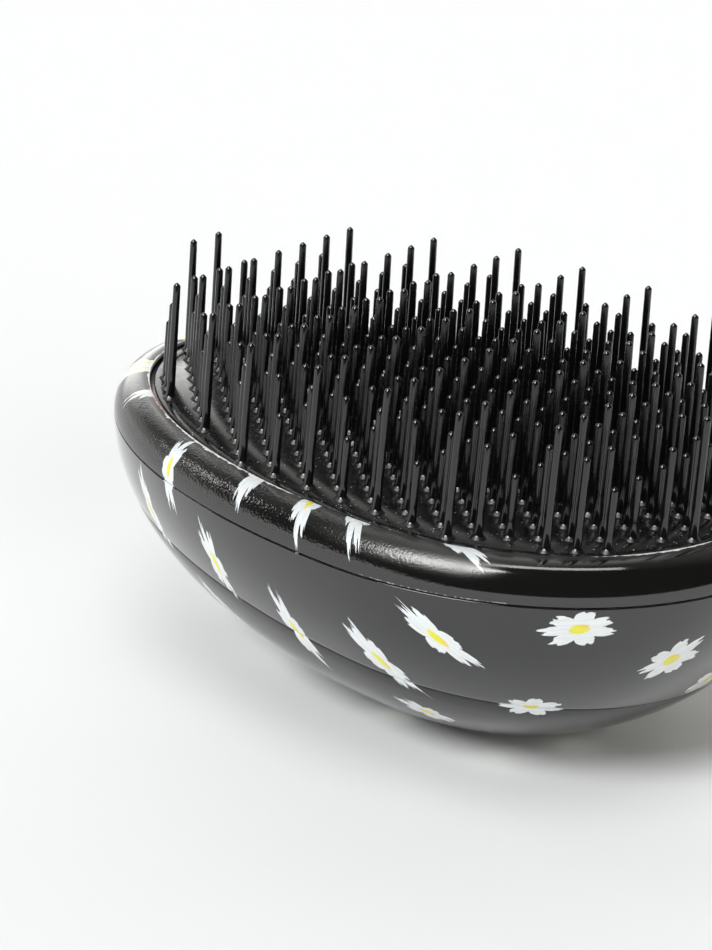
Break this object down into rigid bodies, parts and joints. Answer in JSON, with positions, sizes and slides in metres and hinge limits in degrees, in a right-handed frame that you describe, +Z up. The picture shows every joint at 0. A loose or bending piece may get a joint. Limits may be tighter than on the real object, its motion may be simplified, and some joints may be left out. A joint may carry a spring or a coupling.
{
  "type": "palm detangling hair brush",
  "caption": "Palm-held detangling hair brush: hollow egg-shaped shell with a rounded rim and a flat plate of slim flexible teeth of mixed lengths.",
  "frame": {"origin": "On the floor under the middle of the brush, which lies on its back", "axes": "+X to the blunt end, +Y across the brush, +Z up along the teeth"},
  "size_m": [0.106, 0.0814, 0.053],
  "materials": {
    "shell": "gloss black with a printed scatter of small white daisies",
    "rim": "gloss black with a fine orange-peel grain and a few stretched printed petals",
    "plate": "fine satin black",
    "backing": "plain moulded, hidden inside",
    "teeth": "satin black, flexible"
  },
  "bodies": {
    "brush_body": {"back_cover": "shell", "body_shell": "shell", "rim_ring": "rim", "tooth_plate": "plate", "backing_plate": "backing"},
    "flex_row_01": {"tooth_row_01": "teeth"},
    "flex_row_02": {"tooth_row_02": "teeth"},
    "flex_row_03": {"tooth_row_03": "teeth"},
    "flex_row_04": {"tooth_row_04": "teeth"},
    "flex_row_05": {"tooth_row_05": "teeth"},
    "flex_row_06": {"tooth_row_06": "teeth"},
    "flex_row_07": {"tooth_row_07": "teeth"},
    "flex_row_08": {"tooth_row_08": "teeth"},
    "flex_row_09": {"tooth_row_09": "teeth"},
    "flex_row_10": {"tooth_row_10": "teeth"},
    "flex_row_11": {"tooth_row_11": "teeth"},
    "flex_row_12": {"tooth_row_12": "teeth"},
    "flex_row_13": {"tooth_row_13": "teeth"},
    "flex_row_14": {"tooth_row_14": "teeth"},
    "flex_row_15": {"tooth_row_15": "teeth"},
    "flex_row_16": {"tooth_row_16": "teeth"},
    "flex_row_17": {"tooth_row_17": "teeth"},
    "flex_row_18": {"tooth_row_18": "teeth"},
    "flex_row_19": {"tooth_row_19": "teeth"},
    "flex_row_20": {"tooth_row_20": "teeth"},
    "flex_row_21": {"tooth_row_21": "teeth"},
    "flex_row_22": {"tooth_row_22": "teeth"},
    "flex_row_23": {"tooth_row_23": "teeth"},
    "flex_row_24": {"tooth_row_24": "teeth"},
    "flex_row_25": {"tooth_row_25": "teeth"},
    "flex_row_26": {"tooth_row_26": "teeth"},
    "flex_row_27": {"tooth_row_27": "teeth"},
    "flex_row_28": {"tooth_row_28": "teeth"},
    "flex_row_29": {"tooth_row_29": "teeth"},
    "flex_row_30": {"tooth_row_30": "teeth"},
    "flex_row_31": {"tooth_row_31": "teeth"},
    "flex_row_32": {"tooth_row_32": "teeth"},
    "flex_row_33": {"tooth_row_33": "teeth"}
  },
  "joints": [
    {"name": "row_01_flex", "type": "hinge", "parent": "brush_body", "child": "flex_row_01", "pos_m": [-0.0458, 0, 0.036], "axis": [0, 1, 0], "range_deg": [-12, 12], "stiffness_Nm_per_rad": 0.0076},
    {"name": "row_02_flex", "type": "hinge", "parent": "brush_body", "child": "flex_row_02", "pos_m": [-0.04297, 0, 0.036], "axis": [0, 1, 0], "range_deg": [-12, 12], "stiffness_Nm_per_rad": 0.0152},
    {"name": "row_03_flex", "type": "hinge", "parent": "brush_body", "child": "flex_row_03", "pos_m": [-0.04014, 0, 0.036], "axis": [0, 1, 0], "range_deg": [-12, 12], "stiffness_Nm_per_rad": 0.0441},
    {"name": "row_04_flex", "type": "hinge", "parent": "brush_body", "child": "flex_row_04", "pos_m": [-0.03731, 0, 0.036], "axis": [0, 1, 0], "range_deg": [-12, 12], "stiffness_Nm_per_rad": 0.0354},
    {"name": "row_05_flex", "type": "hinge", "parent": "brush_body", "child": "flex_row_05", "pos_m": [-0.03449, 0, 0.036], "axis": [0, 1, 0], "range_deg": [-12, 12], "stiffness_Nm_per_rad": 0.0304},
    {"name": "row_06_flex", "type": "hinge", "parent": "brush_body", "child": "flex_row_06", "pos_m": [-0.03166, 0, 0.036], "axis": [0, 1, 0], "range_deg": [-12, 12], "stiffness_Nm_per_rad": 0.0354},
    {"name": "row_07_flex", "type": "hinge", "parent": "brush_body", "child": "flex_row_07", "pos_m": [-0.02883, 0, 0.036], "axis": [0, 1, 0], "range_deg": [-12, 12], "stiffness_Nm_per_rad": 0.0588},
    {"name": "row_08_flex", "type": "hinge", "parent": "brush_body", "child": "flex_row_08", "pos_m": [-0.026, 0, 0.036], "axis": [0, 1, 0], "range_deg": [-12, 12], "stiffness_Nm_per_rad": 0.0455},
    {"name": "row_09_flex", "type": "hinge", "parent": "brush_body", "child": "flex_row_09", "pos_m": [-0.02317, 0, 0.036], "axis": [0, 1, 0], "range_deg": [-12, 12], "stiffness_Nm_per_rad": 0.038},
    {"name": "row_10_flex", "type": "hinge", "parent": "brush_body", "child": "flex_row_10", "pos_m": [-0.02034, 0, 0.036], "axis": [0, 1, 0], "range_deg": [-12, 12], "stiffness_Nm_per_rad": 0.0455},
    {"name": "row_11_flex", "type": "hinge", "parent": "brush_body", "child": "flex_row_11", "pos_m": [-0.01752, 0, 0.036], "axis": [0, 1, 0], "range_deg": [-12, 12], "stiffness_Nm_per_rad": 0.0735},
    {"name": "row_12_flex", "type": "hinge", "parent": "brush_body", "child": "flex_row_12", "pos_m": [-0.01469, 0, 0.036], "axis": [0, 1, 0], "range_deg": [-12, 12], "stiffness_Nm_per_rad": 0.0556},
    {"name": "row_13_flex", "type": "hinge", "parent": "brush_body", "child": "flex_row_13", "pos_m": [-0.01186, 0, 0.036], "axis": [0, 1, 0], "range_deg": [-12, 12], "stiffness_Nm_per_rad": 0.0457},
    {"name": "row_14_flex", "type": "hinge", "parent": "brush_body", "child": "flex_row_14", "pos_m": [-0.00903, 0, 0.036], "axis": [0, 1, 0], "range_deg": [-12, 12], "stiffness_Nm_per_rad": 0.0556},
    {"name": "row_15_flex", "type": "hinge", "parent": "brush_body", "child": "flex_row_15", "pos_m": [-0.0062, 0, 0.036], "axis": [0, 1, 0], "range_deg": [-12, 12], "stiffness_Nm_per_rad": 0.0882},
    {"name": "row_16_flex", "type": "hinge", "parent": "brush_body", "child": "flex_row_16", "pos_m": [-0.00337, 0, 0.036], "axis": [0, 1, 0], "range_deg": [-12, 12], "stiffness_Nm_per_rad": 0.0556},
    {"name": "row_17_flex", "type": "hinge", "parent": "brush_body", "child": "flex_row_17", "pos_m": [-0.00055, 0, 0.036], "axis": [0, 1, 0], "range_deg": [-12, 12], "stiffness_Nm_per_rad": 0.0457},
    {"name": "row_18_flex", "type": "hinge", "parent": "brush_body", "child": "flex_row_18", "pos_m": [0.00228, 0, 0.036], "axis": [0, 1, 0], "range_deg": [-12, 12], "stiffness_Nm_per_rad": 0.0556},
    {"name": "row_19_flex", "type": "hinge", "parent": "brush_body", "child": "flex_row_19", "pos_m": [0.00511, 0, 0.036], "axis": [0, 1, 0], "range_deg": [-12, 12], "stiffness_Nm_per_rad": 0.0882},
    {"name": "row_20_flex", "type": "hinge", "parent": "brush_body", "child": "flex_row_20", "pos_m": [0.00794, 0, 0.036], "axis": [0, 1, 0], "range_deg": [-12, 12], "stiffness_Nm_per_rad": 0.0556},
    {"name": "row_21_flex", "type": "hinge", "parent": "brush_body", "child": "flex_row_21", "pos_m": [0.01077, 0, 0.036], "axis": [0, 1, 0], "range_deg": [-12, 12], "stiffness_Nm_per_rad": 0.0457},
    {"name": "row_22_flex", "type": "hinge", "parent": "brush_body", "child": "flex_row_22", "pos_m": [0.0136, 0, 0.036], "axis": [0, 1, 0], "range_deg": [-12, 12], "stiffness_Nm_per_rad": 0.0556},
    {"name": "row_23_flex", "type": "hinge", "parent": "brush_body", "child": "flex_row_23", "pos_m": [0.01643, 0, 0.036], "axis": [0, 1, 0], "range_deg": [-12, 12], "stiffness_Nm_per_rad": 0.0882},
    {"name": "row_24_flex", "type": "hinge", "parent": "brush_body", "child": "flex_row_24", "pos_m": [0.01925, 0, 0.036], "axis": [0, 1, 0], "range_deg": [-12, 12], "stiffness_Nm_per_rad": 0.0556},
    {"name": "row_25_flex", "type": "hinge", "parent": "brush_body", "child": "flex_row_25", "pos_m": [0.02208, 0, 0.036], "axis": [0, 1, 0], "range_deg": [-12, 12], "stiffness_Nm_per_rad": 0.0457},
    {"name": "row_26_flex", "type": "hinge", "parent": "brush_body", "child": "flex_row_26", "pos_m": [0.02491, 0, 0.036], "axis": [0, 1, 0], "range_deg": [-12, 12], "stiffness_Nm_per_rad": 0.0556},
    {"name": "row_27_flex", "type": "hinge", "parent": "brush_body", "child": "flex_row_27", "pos_m": [0.02774, 0, 0.036], "axis": [0, 1, 0], "range_deg": [-12, 12], "stiffness_Nm_per_rad": 0.0735},
    {"name": "row_28_flex", "type": "hinge", "parent": "brush_body", "child": "flex_row_28", "pos_m": [0.03057, 0, 0.036], "axis": [0, 1, 0], "range_deg": [-12, 12], "stiffness_Nm_per_rad": 0.0455},
    {"name": "row_29_flex", "type": "hinge", "parent": "brush_body", "child": "flex_row_29", "pos_m": [0.0334, 0, 0.036], "axis": [0, 1, 0], "range_deg": [-12, 12], "stiffness_Nm_per_rad": 0.038},
    {"name": "row_30_flex", "type": "hinge", "parent": "brush_body", "child": "flex_row_30", "pos_m": [0.03622, 0, 0.036], "axis": [0, 1, 0], "range_deg": [-12, 12], "stiffness_Nm_per_rad": 0.0455},
    {"name": "row_31_flex", "type": "hinge", "parent": "brush_body", "child": "flex_row_31", "pos_m": [0.03905, 0, 0.036], "axis": [0, 1, 0], "range_deg": [-12, 12], "stiffness_Nm_per_rad": 0.0588},
    {"name": "row_32_flex", "type": "hinge", "parent": "brush_body", "child": "flex_row_32", "pos_m": [0.04188, 0, 0.036], "axis": [0, 1, 0], "range_deg": [-12, 12], "stiffness_Nm_per_rad": 0.0253},
    {"name": "row_33_flex", "type": "hinge", "parent": "brush_body", "child": "flex_row_33", "pos_m": [0.04471, 0, 0.036], "axis": [0, 1, 0], "range_deg": [-12, 12], "stiffness_Nm_per_rad": 0.0152}
  ],
  "couplings": [
    {"joint": "row_01_flex", "follows": "row_17_flex", "ratio": 1},
    {"joint": "row_02_flex", "follows": "row_17_flex", "ratio": 1},
    {"joint": "row_03_flex", "follows": "row_17_flex", "ratio": 1},
    {"joint": "row_04_flex", "follows": "row_17_flex", "ratio": 1},
    {"joint": "row_05_flex", "follows": "row_17_flex", "ratio": 1},
    {"joint": "row_06_flex", "follows": "row_17_flex", "ratio": 1},
    {"joint": "row_07_flex", "follows": "row_17_flex", "ratio": 1},
    {"joint": "row_08_flex", "follows": "row_17_flex", "ratio": 1},
    {"joint": "row_09_flex", "follows": "row_17_flex", "ratio": 1},
    {"joint": "row_10_flex", "follows": "row_17_flex", "ratio": 1},
    {"joint": "row_11_flex", "follows": "row_17_flex", "ratio": 1},
    {"joint": "row_12_flex", "follows": "row_17_flex", "ratio": 1},
    {"joint": "row_13_flex", "follows": "row_17_flex", "ratio": 1},
    {"joint": "row_14_flex", "follows": "row_17_flex", "ratio": 1},
    {"joint": "row_15_flex", "follows": "row_17_flex", "ratio": 1},
    {"joint": "row_16_flex", "follows": "row_17_flex", "ratio": 1},
    {"joint": "row_18_flex", "follows": "row_17_flex", "ratio": 1},
    {"joint": "row_19_flex", "follows": "row_17_flex", "ratio": 1},
    {"joint": "row_20_flex", "follows": "row_17_flex", "ratio": 1},
    {"joint": "row_21_flex", "follows": "row_17_flex", "ratio": 1},
    {"joint": "row_22_flex", "follows": "row_17_flex", "ratio": 1},
    {"joint": "row_23_flex", "follows": "row_17_flex", "ratio": 1},
    {"joint": "row_24_flex", "follows": "row_17_flex", "ratio": 1},
    {"joint": "row_25_flex", "follows": "row_17_flex", "ratio": 1},
    {"joint": "row_26_flex", "follows": "row_17_flex", "ratio": 1},
    {"joint": "row_27_flex", "follows": "row_17_flex", "ratio": 1},
    {"joint": "row_28_flex", "follows": "row_17_flex", "ratio": 1},
    {"joint": "row_29_flex", "follows": "row_17_flex", "ratio": 1},
    {"joint": "row_30_flex", "follows": "row_17_flex", "ratio": 1},
    {"joint": "row_31_flex", "follows": "row_17_flex", "ratio": 1},
    {"joint": "row_32_flex", "follows": "row_17_flex", "ratio": 1},
    {"joint": "row_33_flex", "follows": "row_17_flex", "ratio": 1}
  ]
}
